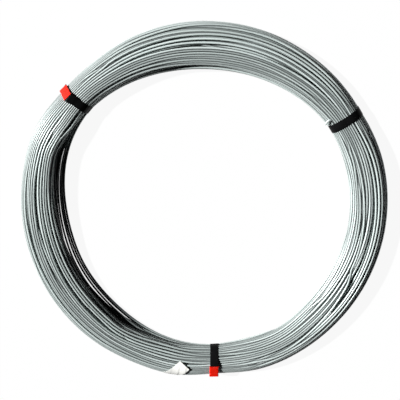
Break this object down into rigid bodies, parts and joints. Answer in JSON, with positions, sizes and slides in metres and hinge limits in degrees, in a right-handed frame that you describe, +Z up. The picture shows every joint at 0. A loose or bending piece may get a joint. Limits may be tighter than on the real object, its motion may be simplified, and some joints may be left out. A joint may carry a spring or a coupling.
{
  "type": "coil of galvanised steel wire",
  "caption": "Flat round coil of bright galvanised steel wire, laid on its side and bound by flat black straps with crimped red seals, with a small blank tag.",
  "frame": {"origin": "on the floor, on the axis of the coil's outer circle", "axes": "+Z up along the coil's axis; -Y towards the front strap"},
  "size_m": [0.7, 0.6982, 0.0434],
  "materials": {
    "galvanised_wire": "bright drawn zinc",
    "black_strap": "semi-gloss black paint on steel strapping",
    "red_seal": "satin red paint",
    "white_tag": "matt white label stock"
  },
  "bodies": {
    "root": {"wire_coil": "galvanised_wire", "strap_right": "black_strap", "strap_left": "black_strap", "strap_front": "black_strap", "seal_left": "red_seal", "seal_front": "red_seal", "tag": "white_tag"}
  },
  "joints": []
}
